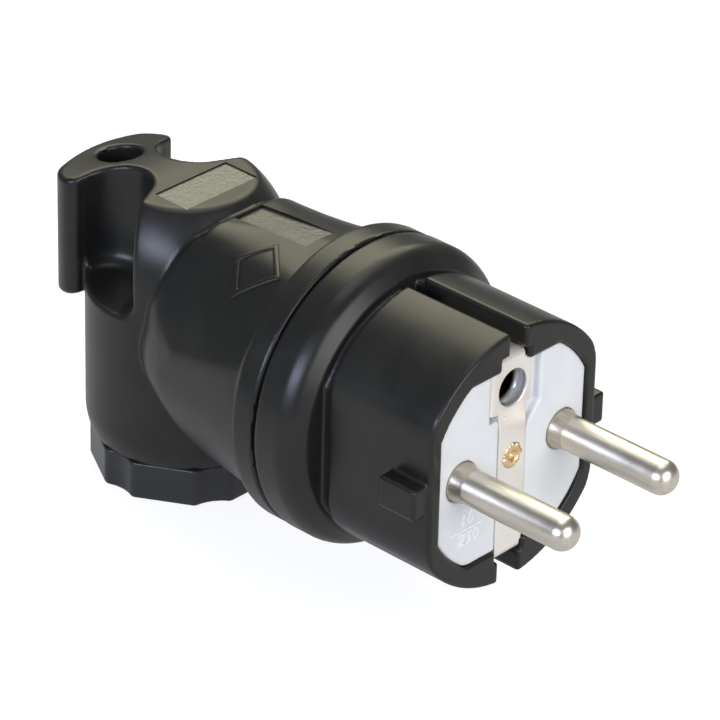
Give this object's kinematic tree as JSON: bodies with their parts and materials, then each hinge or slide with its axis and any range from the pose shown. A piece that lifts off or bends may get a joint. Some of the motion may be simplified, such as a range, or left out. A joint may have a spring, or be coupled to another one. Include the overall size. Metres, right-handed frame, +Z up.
{
  "type": "angled electrical plug",
  "caption": "Angled rewirable mains plug: round pins and an earth strip with earth socket on a pale insulator, black rubber housing with T grip and hanging hole, cord gland below.",
  "frame": {"origin": "midway between the pins, on the front face of the insulator", "axes": "+X along the pins, out of the plug; +Y from the live pin to the neutral pin; +Z up, away from the cord gland"},
  "size_m": [0.096, 0.042, 0.0462],
  "materials": {
    "rubber": "satin",
    "gasket": "matte",
    "nut_plastic": "satin",
    "insulator": "satin",
    "gland_plastic": "satin",
    "nickel": "polished",
    "brass": "satin",
    "steel": "satin"
  },
  "bodies": {
    "root": {"contact_carrier": "insulator", "front_shroud": "rubber", "earth_strip": "nickel", "earth_sleeve": "nickel", "earth_rivet": "brass", "earth_terminal": "brass", "live_pin": "nickel", "neutral_pin": "nickel", "live_terminal": "brass", "neutral_terminal": "brass", "live_terminal_screw": "steel", "neutral_terminal_screw": "steel", "earth_terminal_screw": "steel", "carrier_screws": "steel", "collar_gasket": "gasket", "rear_housing": "rubber", "clamp_ring": "gland_plastic", "gland_seal": "gasket", "slip_washer": "gland_plastic", "gland_nut": "nut_plastic"}
  },
  "joints": []
}
